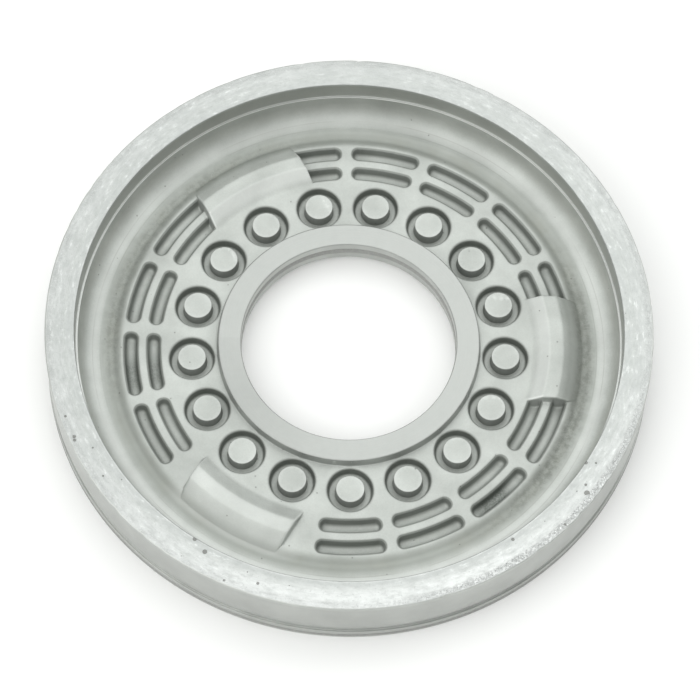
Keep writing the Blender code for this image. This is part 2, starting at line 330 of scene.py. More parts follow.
RING_BAND = ((-9.0, 36.2, 0.1), (8.9, 11.0, 0.2))
DULL = (0.12, 0.125, 0.12)
TURNED_TONES = {
    # Painted highlight on the ledge's edge.
    "ledge": Tone((73.3, 74.38, 0.12), (13.5, 14.0, 0.12), None, None, 0.12, (0.97, 0.98, 0.96)),
    # Painted shade on the upright wall between the ledge and the rim top.
    "upright wall": Tone((74.2, 74.62, 0.08), (14.1, 19.3, 0.3), None, None, 0.30, (0.20, 0.195, 0.165)),
    "hub ring": Tone(*RING_BAND, None, None, 0.27, DULL),
    "near left of the hub ring": Tone(*RING_BAND, (-3.0, -2.1, 0.4), None, 0.16, DULL),
    "outer wall": Tone((81.6, 90.0, 0.2), (-1.0, 19.0, 0.5), None, None, 0.09, (0.12, 0.115, 0.105)),
}

# Streaks are noise drawn out along the circumference: its length in millimetres for each radian is short.
STREAKS = (0.85, 7.0, 0.68)
STREAK_LENGTH = 26.0
STREAK_SHIFT = 40.0
STREAK_HALF = (1.57, 9.0, 0.4)
SCUFF_RAMP = [(0.48, 0.0), (0.62, 1.0)]
SHINE_RAMP = [(0.33, 1.0), (0.44, 0.0)]
RIM_MASKS = {
    "specks": ((1.7, 3.0, 0.65), [(0.60, 0.0), (0.68, 1.0)]),
    "blotches": ((0.20, 6.0, 0.7), [(0.50, 0.0), (0.58, 1.0)]),
}
# Where a highlight is painted on the rim's inner lip, on its near side.
NEAR_LIP_HIGHLIGHT = ((74.35, 74.95, 0.05), (19.3, 21.0, 0.3), (-2.8, -0.35, 0.3))
RIM_TONES = {
    "worn band": Tone((76.6, 77.5, 0.25), None, None, None, 0.35, (0.42, 0.44, 0.42)),
    "inner band": Tone((73.0, 76.4, 0.6), None, None, None, 0.28, (0.40, 0.42, 0.405)),
    # Painted highlight on the near lip.
    "painted highlight on the near lip": Tone(*NEAR_LIP_HIGHLIGHT, None, 0.10, (0.95, 0.97, 0.95)),
    # Painted sheen that lightens the rim's near side.
    "near side": Tone((76.8, 90.0, 1.3), None, (-2.2, -0.65, 0.5), None, 0.42, (0.80, 0.815, 0.805)),
    "scuffs": Tone(None, None, None, "scuffs", 0.40, (0.33, 0.345, 0.335)),
    "shine": Tone(None, None, None, "shine", 0.40, (0.80, 0.82, 0.81)),
    "specks": Tone(None, None, None, "specks", 0.38, (0.25, 0.26, 0.25)),
    "blotches": Tone(None, None, None, "blotches", 0.22, (0.34, 0.355, 0.345)),
}

# Casting pores in the rim. They are commoner, and the outer edge is more chipped, on these stretches.
LEFT_STRETCH = (-2.75, -1.85, 0.2)
RIGHT_STRETCH = (-1.25, -0.40, 0.2)
PORE_CELLS = 0.36
PORE_RARITY = 0.90
PORE_RARITY_DROP = 0.30
PORE_GROWTH = 0.8
PORE_SHARE = 0.75
PORE_COLOUR = (0.13, 0.13, 0.12)
PORE_RELIEF = 5.0
CHIP_BAND = (80.3, 83.0, 0.5)
CHIP_LEAST = 0.25
CHIPS = (1.3, 5.0, 0.8)
CHIP_RAMP = [(0.50, 0.0), (0.60, 1.0)]
CHIP_SHARE = 0.8
CHIP_COLOUR = (0.90, 0.92, 0.91)
CHIP_RELIEF = 4.0
RIM_LUMPS = (1.0, 5.0, 0.7)
RIM_LUMPS_RELIEF = 2.5

RUBBER_SPECKS = (1.4, 4.0, 0.65)
RUBBER_BASE = [(0.3, (0.25, 0.255, 0.245)), (0.72, (0.34, 0.345, 0.33))]
RUBBER_WEAR = (0.25, 3.0, 0.55)
RUBBER_WEAR_SHARE = 0.25
RUBBER_WEAR_COLOUR = (0.36, 0.36, 0.345)
RUBBER_ROUGHNESS = [(0.3, 0.52), (0.7, 0.72)]
RUBBER_BUMP = 0.02

PAPER_TONE = (0.004, 2.0, 0.55)
PAPER_BASE = [(0.3, (0.93, 0.93, 0.925)), (0.7, (0.95, 0.95, 0.945))]
PAPER_ROUGHNESS = [(0.3, 0.85), (0.7, 0.9)]
PAPER_SPECULAR = 0.1
PAPER_BUMP = 0.01


# ---------------------------------------------------------------- studio and camera

# Lights, in metres and watts: name, place, diameter, power, colour. All of them aim at the origin.
LIGHTS = [
    ("key_light", (-0.45, -0.45, 0.95), 1.0, 2.1, (1.0, 1.0, 0.98)),
    ("top_light", (0.10, 0.55, 1.10), 0.9, 2.6, (0.98, 1.0, 0.99)),
    ("left_fill", (-0.80, -0.30, 0.42), 0.6, 0.8, (1.0, 1.0, 0.99)),
    ("fill_light", (0.75, 0.40, 0.45), 0.6, 1.1, (0.98, 1.0, 0.99)),
]
STUDIO_HALF = 3.0  # metres

# The soft tent: the direction of its bright side, and how directions map from its dark to its bright side.
TENT_SIDE = (-0.50, -0.45, 0.45)
TENT_RANGE = (-0.8, 0.8, 0.55, 1.10)
TENT_COLOUR = (0.99, 1.0, 0.99, 1.0)

# The camera, from the lens and distance that fit the object's circles.
CAMERA_ELEVATION = math.radians(64.65)
CAMERA_ROLL = math.radians(2.34)
CAMERA_TURN = math.radians(-0.9)
CAMERA_DISTANCE = 853.3
CAMERA_FOCUS_HEIGHT = 7.3
CAMERA_LENS = 160.02
CAMERA_SENSOR = 36
CAMERA_SHIFT = (0.00183, -0.0091)
CAMERA_CLIP_START = 0.01  # metres


# ---------------------------------------------------------------- geometry helpers

def rounded(corners, closed=False, steps=ROUND_STEPS, share=ROUND_SHARE):
    """Rounds each corner of a polyline of (radius, height, rounding, skin). Returns points, normals, skins.

    A rounding takes at most this share of either neighbouring side.
    """
    points, normals, skins = [], [], []
    count = len(corners)
    for i, corner in enumerate(corners):
        here = np.array(corner[:2], float)
        before = np.array(corners[i - 1][:2], float)
        after = np.array(corners[(i + 1) % count][:2], float)
        skin = corner[3] if len(corner) > 3 else None
        if not closed and i in (0, count - 1):
            along = after - here if i == 0 else here - before
            along /= np.linalg.norm(along)
            points.append(here)
            normals.append(np.array([-along[1], along[0]]))
            skins.append(skin)
            continue
        back, ahead = before - here, after - here
        back_length, ahead_length = np.linalg.norm(back), np.linalg.norm(ahead)
        back, ahead = back / back_length, ahead / ahead_length
        half = math.acos(max(-1.0, min(1.0, float(back @ ahead)))) / 2
        setback = min(corner[2] / math.tan(half), share * min(back_length, ahead_length))
        radius = setback * math.tan(half)
        bisector = (back + ahead) / np.linalg.norm(back + ahead)
        centre = here + bisector * radius / math.sin(half)
        first = here + back * setback - centre
        last = here + ahead * setback - centre
        start = math.atan2(first[1], first[0])
        sweep = math.remainder(math.atan2(last[1], last[0]) - start, TAU)
        facing = 1.0 if sweep < 0 else -1.0
        fine = steps * (WIDE_ROUND_FACTOR if corner[2] > WIDE_ROUNDING else 1)
        for k in range(fine + 1):
            angle = start + sweep * k / fine
            outward = np.array([math.cos(angle), math.sin(angle)])
            points.append(centre + radius * outward)
            normals.append(outward * facing)
            skins.append(skin)
    return np.array(points), np.array(normals), skins


def mesh_object(name, verts, faces, normals, materials, face_material):
    """Builds a smooth mesh object with its own normals. The vertices are given in millimetres."""
    mesh = bpy.data.meshes.new(name)
    mesh.from_pydata([tuple(v) for v in np.asarray(verts) * MM], [], faces)
    for material in materials:
        mesh.materials.append(material)
    mesh.polygons.foreach_set("material_index", face_material)
    mesh.polygons.foreach_set("use_smooth", [True] * len(mesh.polygons))
    mesh.update()
    mesh.normals_split_custom_set_from_vertices([tuple(n) for n in normals])
    result = bpy.data.objects.new(name, mesh)
    bpy.context.scene.collection.objects.link(result)
    return result


def turned(profile, segments):
    """Turns an array of (radius, height) about Z. The result is by profile point, then segment."""
    angles = np.arange(segments) * TAU / segments
    return np.stack([
        profile[:, :1] * np.cos(angles),
        profile[:, :1] * np.sin(angles),
        np.repeat(profile[:, 1:], segments, axis=1),
    ], axis=-1)


def turned_faces(rows, segments, closed):
    """The quads between neighbouring rows of a turned profile."""
    faces = []
    for i in range(rows if closed else rows - 1):
        k = (i + 1) % rows
        for j in range(segments):
            m = (j + 1) % segments
            faces.append((i * segments + j, i * segments + m, k * segments + m, k * segments + j))
    return faces


def circle_points(radius, angles, centre=(0.0, 0.0)):
    """Points at these angles, on one radius or on a radius for each angle."""
    return np.stack([centre[0] + radius * np.cos(angles), centre[1] + radius * np.sin(angles)], -1)


# ---------------------------------------------------------------- the layout of the dish floor

def valley_points():
    """The valley's (radius, height) points, from the dish floor to the gutter."""
    points = []
    for step in range(1, VALLEY_STEPS + 1):
        radius = VALLEY_START + (FIELD_OUTER - VALLEY_START) * step / VALLEY_STEPS
        if radius < VALLEY_MIDDLE:
            share = (VALLEY_MIDDLE - radius) / (VALLEY_MIDDLE - VALLEY_START)
            top = FLOOR
        else:
            share = (radius - VALLEY_MIDDLE) / (FIELD_OUTER - VALLEY_MIDDLE)
            top = GUTTER
        points.append((radius, VALLEY_HEIGHT + (top - VALLEY_HEIGHT) * (1 - math.cos(math.pi * share)) / 2))
    return points


def clear_of_pads(angle):
    """Whether an angle is clear of every pad, at the radius of their crests."""
    return min(abs(math.remainder(angle - pad, TAU)) for pad in PAD_ANGLES) > PAD_HALF_ANGLE


def slot_span(slot):
    """A slot's middle angle and half angle. A slot that ends beside a pad runs on into the pad's side."""
    ends = [slot - SLOT_HALF_ANGLE, slot + SLOT_HALF_ANGLE]
    for pad in PAD_ANGLES:
        offset = math.remainder(pad - slot, TAU)
        if abs(offset) < SLOT_HALF_ANGLE + PAD_HALF_ANGLE:
            ends[1 if offset > 0 else 0] += math.copysign(SLOT_RUN_ON, offset)
    return (ends[0] + ends[1]) / 2, (ends[1] - ends[0]) / 2


FIELD_POINTS = np.concatenate([rounded(FIELD_PROFILE)[0], valley_points()])
ARCH_POINTS = rounded(PAD_ARCH, steps=PAD_ARCH_STEPS)[0]
PAD_HALF_ANGLE = math.asin(PAD_HALF_WIDTH / PAD_CREST_RADIUS)
PITCH = TAU / POCKET_COUNT
POCKET_ANGLES = [PAD_ANGLES[2] + PITCH * (0.5 + i) for i in range(POCKET_COUNT)]
SLOTS = [slot_span(a) for a in POCKET_ANGLES if clear_of_pads(a)]


# ---------------------------------------------------------------- the dish floor as a height field

def convex(depth, size):
    """Drop of a rounded edge: 0 where it starts, size where it is upright."""
    inside = np.clip(depth, 0, size)
    return size - np.sqrt(np.maximum(size * size - inside * inside, 0))


def recess(depth, floor, side):
    """Height of a recess's side by how far a point lies inside its outer edge."""
    edge, draft, foot = side
    wall_top = FLOOR - edge
    wall_bottom = floor + foot
    height = FLOOR - convex(depth, edge)
    wall = wall_top + (depth - edge) / draft * (wall_bottom - wall_top)
    height = np.where(depth > edge, wall, height)
    left = edge + draft + foot - depth
    curve = wall_bottom - np.sqrt(np.clip(foot ** 2 - left * left, 0, None))
    height = np.where(depth > edge + draft, curve, height)
    return np.where(depth > edge + draft + foot, floor, height)


def boss(distance):
    """Height of a boss by distance from its centre, and of the pocket floor's fillet around it."""
    side_top = BOSS_TOP - BOSS_ROUND
    side_foot = POCKET_FLOOR + BOSS_ROUND
    outer = BOSS_FLAT + BOSS_ROUND
    height = BOSS_TOP - convex(distance - BOSS_FLAT, BOSS_ROUND)
    side = side_top + (distance - outer) / DRAFT * (side_foot - side_top)
    height = np.where(distance > outer, side, height)
    foot = outer + DRAFT + BOSS_ROUND - distance
    curve = side_foot - np.sqrt(np.clip(BOSS_ROUND ** 2 - foot * foot, 0, None))
    height = np.where(distance > outer + DRAFT, curve, height)
    return np.where(distance > outer + DRAFT + BOSS_ROUND, POCKET_FLOOR, height)


def pad_frame(x, y, pad):
    """Distance along and across a pad's middle line."""
    return x * math.cos(pad) + y * math.sin(pad), -x * math.sin(pad) + y * math.cos(pad)


def pocket_distance(x, y):
    """Distance from the nearest pocket's centre."""
    nearest = POCKET_ANGLES[0] + np.round((np.arctan2(y, x) - POCKET_ANGLES[0]) / PITCH) * PITCH
    return np.hypot(x - POCKET_PITCH * np.cos(nearest), y - POCKET_PITCH * np.sin(nearest))


def slot_depth(x, y):
    """How far a point lies inside a slot's outer edge, negative outside."""
    radius = np.hypot(x, y)
    angle = np.arctan2(y, x)
    deepest = np.full_like(radius, NOWHERE)
    for slot, half_angle in SLOTS:
        offset = np.abs(np.remainder(angle - slot + math.pi, TAU) - math.pi)
        for low, high in SLOT_ROWS:
            a = (offset - half_angle) * radius + SLOT_CORNER
            b = np.abs(radius - (low + high) / 2) - (high - low) / 2 + SLOT_CORNER
            outside = np.hypot(np.maximum(a, 0), np.maximum(b, 0)) + np.minimum(np.maximum(a, b), 0)
            deepest = np.maximum(deepest, SLOT_CORNER - outside)
    return deepest


def bell(distance, middle, width, strength):
    """A bell curve over distance."""
    return strength * np.exp(-((distance - middle) / width) ** 2)


def edge_marks(x, y, height):
    """Painted shade on the side walls of pockets and slots and at the bosses' feet, and painted highlight on
    the edges of bosses and pads, 0 to 1.
    """
    depth = slot_depth(x, y)
    distance = pocket_distance(x, y)
    painted_shade = np.maximum(bell(depth, *SLOT_WALL_SHADE), bell(depth, *SLOT_EDGE_SHADE))
    painted_shade = np.maximum(painted_shade, bell(POCKET_EDGE - distance, *POCKET_WALL_SHADE))
    painted_shade = np.maximum(painted_shade, bell(distance, *BOSS_FOOT_SHADE))
    painted_shade = np.where(height < SHADE_TOP, painted_shade, 0.0)
    wear_and_highlight = bell(distance, *BOSS_EDGE_HIGHLIGHT)
    for pad in PAD_ANGLES:
        along, across = pad_frame(x, y, pad)
        side = bell(PAD_HALF_WIDTH - np.abs(across), *PAD_EDGE_HIGHLIGHT)
        wear_and_highlight = np.maximum(wear_and_highlight, np.where((along > 0) & (height > PAD_HIGHLIGHT_BOTTOM), side, 0))
    return painted_shade, wear_and_highlight


def height_at(x, y):
    """Height of the dish floor with its pockets, bosses, slots and pads."""
    radius = np.hypot(x, y)
    height = np.interp(radius, FIELD_POINTS[:, 0], FIELD_POINTS[:, 1])
    distance = pocket_distance(x, y)
    side = recess(POCKET_EDGE - distance, POCKET_FLOOR, POCKET_SIDE)
    pocket = np.where(distance > BOSS_REACH, side, boss(distance))
    height = np.where(distance < POCKET_EDGE, np.minimum(height, pocket), height)
    height = np.where(distance < BOSS_REACH, pocket, height)
    depth = slot_depth(x, y)
    height = np.where(depth > 0, np.minimum(height, recess(depth, SLOT_FLOOR, SLOT_SIDE)), height)
    arch = np.interp(radius, ARCH_POINTS[:, 0], ARCH_POINTS[:, 1], left=NOWHERE, right=NOWHERE)
    for pad in PAD_ANGLES:
        along, across = pad_frame(x, y, pad)
        inside = PAD_HALF_WIDTH - np.abs(across)
        top = arch - convex(PAD_EDGE_ROUND - inside, PAD_EDGE_ROUND)
        fall = top + inside / DRAFT * PAD_FALL
        block = np.where(inside >= 0, top, np.where(inside > -DRAFT, fall, NOWHERE))
        reach = np.clip(PAD_FOOT_ROUND + DRAFT + inside, 0, PAD_FOOT_ROUND)
        foot = height + convex(reach, PAD_FOOT_ROUND)
        near = (inside > -DRAFT - PAD_FOOT_ROUND) & (along > 0) & (arch > height + PAD_FOOT_ROUND)
        foot = np.where(near, np.minimum(foot, arch - PAD_EDGE_ROUND), NOWHERE)
        block = np.where(along > 0, block, NOWHERE)
        gap = np.clip(PAD_BLEND - np.abs(height - block), 0, None)
        blend = np.where((inside > 0) & (radius < PAD_BLEND_END), gap * gap / (4 * PAD_BLEND), 0)
        height = np.maximum(height, np.maximum(block, foot)) + blend
    return height


# ---------------------------------------------------------------- the edge lines of the dish floor

def side_depths(side):
    """Where the loops of a recess's side lie, measured inward from its outer edge."""
    edge, draft, foot = side
    depths = OUTSIDE_LOOPS + [edge * share for share in EDGE_SHARES]
    return depths + [edge + draft + foot * share for share in FOOT_SHARES]


def pocket_loops():
    """Circles around every pocket's centre, from its outer edge to the middle of its boss."""
    turn = np.arange(POCKET_SEGMENTS) * TAU / POCKET_SEGMENTS
    outer = BOSS_FLAT + BOSS_ROUND
    rings = [POCKET_EDGE - depth for depth in side_depths(POCKET_SIDE) + [POCKET_FLOOR_LOOP]]
    rings += [outer + DRAFT + BOSS_ROUND * share for share in BOSS_FOOT_SHARES]
    rings += [BOSS_FLAT + BOSS_ROUND * share for share in BOSS_EDGE_SHARES] + BOSS_TOP_LOOPS
    loops = []
    for angle in POCKET_ANGLES:
        centre = (POCKET_PITCH * math.cos(angle), POCKET_PITCH * math.sin(angle))
        loops += [(circle_points(ring, turn, centre), True) for ring in rings]
    return loops


def slot_loop(span, low, high, depth):
    """A slot's outline, this depth inside its outer edge."""
    slot, half_angle = span
    corner = SLOT_CORNER - depth
    middle, half = (low + high) / 2, (high - low) / 2
    outline = []
    for side, level in ((1, 1), (-1, 1), (-1, -1), (1, -1)):
        quarter = np.linspace(0, math.pi / 2, SLOT_CORNER_POINTS)
        if side * level < 0:
            quarter = quarter[::-1]
        radius = middle + level * (half - SLOT_CORNER + corner * np.sin(quarter))
        swing = half_angle + (-SLOT_CORNER + corner * np.cos(quarter)) / radius
        outline += list(zip(radius, slot + side * swing))
        if side * level > 0:
            end_radius = middle + level * (half - depth)
            end_swing = half_angle - SLOT_CORNER / end_radius
            steps = np.linspace(side * end_swing, -side * end_swing, SLOT_ARC_POINTS)[1:-1]
            outline += [(end_radius, slot + step) for step in steps]
    outline = np.array(outline)
    return circle_points(outline[:, 0], outline[:, 1])


def pad_loops(pad):
    """Lines along both sides of a pad, and arcs across it."""
    inside = [PAD_EDGE_ROUND * share for share in PAD_EDGE_SHARES]
    inside += [-DRAFT] + [-DRAFT - PAD_FOOT_ROUND * share for share in PAD_FOOT_SHARES]
    reach = np.arange(PAD_INNER_END, PAD_LINE_END, PAD_LINE_STEP)
    loops = []
    for across in [PAD_HALF_WIDTH - depth for depth in inside]:
        along = np.sqrt(reach ** 2 - across ** 2)
        for offset in (-across, across):
            line_x = along * math.cos(pad) - offset * math.sin(pad)
            line_y = along * math.sin(pad) + offset * math.cos(pad)
            loops.append((np.stack([line_x, line_y], -1), False))
    for radius in list(ARCH_POINTS[1:-1, 0]) + PAD_CIRCLES:
        spread = math.asin((PAD_HALF_WIDTH + PAD_CIRCLE_OVERHANG) / radius)
        turns = pad + np.linspace(-spread, spread, PAD_CIRCLE_POINTS)
        loops.append((circle_points(radius, turns), False))
    return loops


def field_loops():
    """Every edge line of the dish floor as (points, closed)."""
    border = np.arange(BODY_SEGMENTS) * TAU / BODY_SEGMENTS
    circle = np.arange(FIELD_SEGMENTS) * TAU / FIELD_SEGMENTS
    loops = [(circle_points(radius, border), True) for radius in (FIELD_INNER, FIELD_OUTER)]
    radii = list(FIELD_POINTS[1:-1, 0]) + EXTRA_CIRCLES
    loops += [(circle_points(radius, circle), True) for radius in radii]
    loops += pocket_loops()
    for span in SLOTS:
        for low, high in SLOT_ROWS:
            loops += [(slot_loop(span, low, high, depth), True) for depth in side_depths(SLOT_SIDE)[:-1]]
    for pad in PAD_ANGLES:
        loops += pad_loops(pad)
    return loops


def fill_points():
    """Staggered points between the edge lines, so that no triangle is large."""
    points = []
    for radius in np.arange(FILL_START, VALLEY_START, FILL_RING_GAP):
        count = int(TAU * radius / FILL_POINT_GAP)
        stagger = 0.5 * (int(radius) % 2)
        for j in range(count):
            turn = TAU * (j + stagger) / count
            points.append(Vector((radius * math.cos(turn), radius * math.sin(turn))))
    return points


def dish_floor():
    """Vertices, triangles, normals and edge marks of the dish floor."""
    points, edges = [], []
    for loop, closed in field_loops():
        first = len(points)
        count = len(loop)
        points += [Vector(p) for p in loop]
        edges += [(first + i, first + (i + 1) % count) for i in range(count if closed else count - 1)]
    points += fill_points()
    flat, _, triangles, *_ = delaunay_2d_cdt(points, edges, [], 0, MERGE_DISTANCE)
    flat = np.array([tuple(p) for p in flat])
    triangles = np.array(triangles)
    centres = flat[triangles].mean(axis=1)
    triangles = triangles[np.hypot(centres[:, 0], centres[:, 1]) > FIELD_INNER + SEAM]
    x, y = flat[:, 0], flat[:, 1]
    height = height_at(x, y)
    slope_x = (height_at(x + SLOPE_STEP, y) - height_at(x - SLOPE_STEP, y)) / (2 * SLOPE_STEP)
    slope_y = (height_at(x, y + SLOPE_STEP) - height_at(x, y - SLOPE_STEP)) / (2 * SLOPE_STEP)
    border = (np.hypot(x, y) < FIELD_INNER + SEAM) | (np.hypot(x, y) > FIELD_OUTER - SEAM)
    slope_x[border] = 0
    slope_y[border] = 0
    normals = np.stack([-slope_x, -slope_y, np.ones_like(x)], -1)
    normals /= np.linalg.norm(normals, axis=1, keepdims=True)
    return np.stack([x, y, height], -1), triangles, normals, edge_marks(x, y, height)


# ---------------------------------------------------------------- the pieces

def nick_rim(verts, points):
    """Small dents along the rim's outer edge, most of them on two stretches of its near side."""
    rng = random.Random(NICK_SEED)
    inner, low = NICK_EDGE
    edge_rows = [i for i, (radius, height) in enumerate(points) if radius > inner and height > low]
    for _ in range(NICK_COUNT):
        spots = [rng.gauss(*spot) for spot in NICKS_NEAR_RIGHT]
        spots += [rng.uniform(0, 360), rng.gauss(*NICKS_NEAR_LEFT)]
        centre = rng.choice(spots)
        width = rng.uniform(*NICK_WIDTHS)
        depth = rng.uniform(*NICK_DEPTHS)
        first = int((centre - NICK_REACH) * COLUMNS_PER_DEGREE)
        last = int((centre + NICK_REACH) * COLUMNS_PER_DEGREE)
        for j in range(first, last + 1):
            share = math.exp(-2 * ((j / COLUMNS_PER_DEGREE - centre) / width) ** 2)
            for i in edge_rows:
                vertex = verts[i, j % BODY_SEGMENTS]
                pull = depth * share * (NICK_STEADY_SHARE + (1 - NICK_STEADY_SHARE) * rng.random())
                radius = math.hypot(vertex[0], vertex[1])
                vertex[0] *= 1 - pull / radius
                vertex[1] *= 1 - pull / radius
                vertex[2] -= pull * NICK_DROP


def build_casting(materials):
    """The turned body and the dish floor, joined along the field's two borders into one closed mesh."""
    points, normals, skins = rounded(BODY_PROFILE, share=BODY_ROUND_SHARE)
    verts = turned(points, BODY_SEGMENTS)
    nick_rim(verts, points)
    body_verts = verts.reshape(-1, 3)
    body_normals = turned(normals, BODY_SEGMENTS).reshape(-1, 3)
    body_faces = turned_faces(len(points), BODY_SEGMENTS, False)
    face_material = []
    for skin in skins[:-1]:
        face_material += [SKINS[skin]] * BODY_SEGMENTS

    field_verts, triangles, field_normals, field_marks = dish_floor()
    first = len(body_verts)
    last_row = first - BODY_SEGMENTS
    radius = np.hypot(field_verts[:, 0], field_verts[:, 1])
    turn = np.round(np.arctan2(field_verts[:, 1], field_verts[:, 0]) / TAU * BODY_SEGMENTS).astype(int)
    turn %= BODY_SEGMENTS
    outer = radius > FIELD_OUTER - SEAM
    inner = radius < FIELD_INNER + SEAM
    kept = ~(outer | inner)
    remap = np.zeros(len(field_verts), int)
    remap[outer] = turn[outer]
    remap[inner] = last_row + turn[inner]
    remap[kept] = first + np.arange(kept.sum())

    centres = field_verts[triangles].mean(axis=1)
    ring_top = np.hypot(centres[:, 0], centres[:, 1]) < RING_TOP_EDGE
    corner_map = remap[triangles]
    whole = np.array([len(set(t)) == 3 for t in corner_map.tolist()])
    faces = [tuple(reversed(face)) for face in body_faces] + [tuple(t) for t in corner_map[whole].tolist()]
    face_material += [SKINS["turned"] if top else SKINS["cast"] for top in ring_top[whole]]
    all_verts = np.concatenate([body_verts, field_verts[kept]])
    all_normals = np.concatenate([body_normals, field_normals[kept]])
    casting = mesh_object("casting_body", all_verts, faces, all_normals, materials, face_material)
    # The marks are painted shade on walls and feet, and painted highlight on edges.
    for name, values in zip(("painted_shade", "wear_and_highlight"), field_marks):
        mark = casting.data.attributes.new(name, "FLOAT", "POINT")
        mark.data.foreach_set("value", np.concatenate([np.zeros(first), values[kept]]))
    return casting


def build_seal(name, material):
    """A moulded lip seal: rounded heel, relief groove under the lip, and a thin lip."""
    back, lip, low, high = SEALS[name]
    heel = back + math.copysign(SEAL_GAP, lip - back)
    section = [
        (heel + reach * (lip - heel), low + level * (high - low), rounding)
        for reach, level, rounding in SEAL_SECTION
    ]
    if lip > back:
        section = section[::-1]
    points, normals, _ = rounded(section, closed=True, steps=SEAL_ROUND_STEPS)
    verts = turned(points, SEAL_SEGMENTS).reshape(-1, 3)
    seal_normals = turned(-normals, SEAL_SEGMENTS).reshape(-1, 3)
    faces = turned_faces(len(points), SEAL_SEGMENTS, True)
    return mesh_object(name + "_body", verts, faces, seal_normals, [material], [0] * len(faces))


# ---------------------------------------------------------------- materials

class Shader:
    """A material and its nodes, with the position in millimetres, the radius, the height and the angle."""

    def __init__(self, name):
        self.material = bpy.data.materials.new(name)
        self.material.use_nodes = True
        self.tree = self.material.node_tree
        self.principled = self.tree.nodes["Principled BSDF"]
        metres = self.add("ShaderNodeTexCoord").outputs["Object"]
        per_metre = (1 / MM, 1 / MM, 1 / MM)
        scaled = self.add("ShaderNodeVectorMath", {0: metres, 1: per_metre}, operation="MULTIPLY")
        self.at = scaled.outputs[0]
        x, y, self.height = self.add("ShaderNodeSeparateXYZ", {0: self.at}).outputs
        squares = self.math("ADD", self.math("MULTIPLY", x, x), self.math("MULTIPLY", y, y))
        self.radius = self.math("SQRT", squares)
        self.angle = self.math("ARCTAN2", y, x)

    def fill(self, socket, value):
        """Links a socket's input, or sets it."""
        if isinstance(value, bpy.types.NodeSocket):
            self.tree.links.new(value, socket)
        else:
            socket.default_value = value

    def add(self, kind, inputs=None, **settings):
        node = self.tree.nodes.new(kind)
        for key, value in settings.items():
            setattr(node, key, value)
        for key, value in (inputs or {}).items():
            self.fill(node.inputs[key], value)
        return node

    def math(self, operation, *values):
        return self.add("ShaderNodeMath", dict(enumerate(values)), operation=operation).outputs[0]

    def product(self, *masks):
        """All of the masks at once."""
        result = masks[0]
        for mask in masks[1:]:
            result = self.math("MULTIPLY", result, mask)
        return result

    def noise(self, scale, detail, roughness, vector=None):
        place = self.at if vector is None else vector
        inputs = {"Vector": place, "Scale": scale, "Detail": detail, "Roughness": roughness}
        return self.add("ShaderNodeTexNoise", inputs).outputs[0]

    def streaks(self):
        """Noise drawn out along the circumference, blended from two halves so that it has no seam."""
        wrapped = self.math("WRAP", self.math("ADD", self.angle, TAU), TAU, 0.0)
        turned_back = self.math("SUBTRACT", wrapped, math.pi)
        halves = []
        for turn, shift in ((self.angle, 0.0), (turned_back, STREAK_SHIFT)):
            along = self.math("MULTIPLY", turn, STREAK_LENGTH)
            vector = self.add("ShaderNodeCombineXYZ", {0: self.radius, 1: along, 2: shift}).outputs[0]
            halves.append(self.noise(*STREAKS, vector))
        side = self.band(self.math("ABSOLUTE", self.angle), *STREAK_HALF)
        return self.mix(side, halves[0], halves[1])

    def cells(self, scale):
        """Distance from the nearest of scattered points, and a random number for each point."""
        node = self.add("ShaderNodeTexVoronoi", {"Vector": self.at, "Scale": scale}, feature="F1")
        colour = self.add("ShaderNodeSeparateColor", {0: node.outputs["Color"]})
        return node.outputs["Distance"], colour.outputs[0]

    def ramp(self, value, stops):
        """Turns a value into a tone. A stop is (value, colour), or (value, brightness)."""
        node = self.add("ShaderNodeValToRGB", {0: value})
        elements = node.color_ramp.elements
        while len(elements) < len(stops):
            elements.new(0.5)
        for element, (place, colour) in zip(elements, stops):
            element.position = place
            element.color = (*colour, 1.0) if isinstance(colour, tuple) else (colour, colour, colour, 1.0)
        return node.outputs[0]

    def mix(self, factor, below, above, blend="MIX"):
        node = self.add("ShaderNodeMix", data_type="RGBA", blend_type=blend)
        self.fill(node.inputs[0], factor)
        self.fill(node.inputs[6], below)
        self.fill(node.inputs[7], (*above, 1.0) if isinstance(above, tuple) else above)
        return node.outputs[2]

    def paint(self, colour, mask, share, tone):
        """Mixes in a tone, by this share of its mask."""
        return self.mix(self.math("MULTIPLY", mask, share), colour, tone)

    def band(self, value, low, high, soft):
        """1 between low and high, 0 outside, with soft edges."""
        rise = self.add("ShaderNodeMapRange", {0: value, 1: low - soft, 2: low + soft}, clamp=True)
        fall = self.add("ShaderNodeMapRange", {0: value, 1: high - soft, 2: high + soft}, clamp=True)
        return self.math("SUBTRACT", rise.outputs[0], fall.outputs[0])

    def masks(self, table):
        """Masks by name, from a table of noises and their ramps."""
        return {name: self.ramp(self.noise(*noise), stops) for name, (noise, stops) in table.items()}

    def paint_tones(self, colour, tones, masks):
        """Paints a table of tones over the colour, in its order."""
        for tone in tones.values():
            places = ((self.radius, tone.radius), (self.height, tone.height), (self.angle, tone.angle))
            parts = [self.band(value, *limits) for value, limits in places if limits]
            if tone.mask:
                parts.append(masks[tone.mask])
            colour = self.paint(colour, self.product(*parts), tone.share, tone.colour)
        return colour

    def paint_wall_shade(self, colour):
        """Paints shade on the field's upright walls, darker the steeper they stand."""
        facing = self.add("ShaderNodeNewGeometry").outputs["True Normal"]
        level = self.math("ABSOLUTE", self.add("ShaderNodeSeparateXYZ", {0: facing}).outputs[2])
        walls = self.mix(1.0, colour, self.ramp(level, WALL_SHADE_TONES), "MULTIPLY")
        field = self.math("SUBTRACT", 1.0, self.band(self.radius, *BEYOND_FIELD))
        return self.mix(self.product(self.band(self.height, *WALL_HEIGHTS), field), colour, walls)

    def painted_mark(self, name):
        """A mark that the mesh carries at each vertex."""
        return self.add("ShaderNodeAttribute", attribute_name=name).outputs["Fac"]

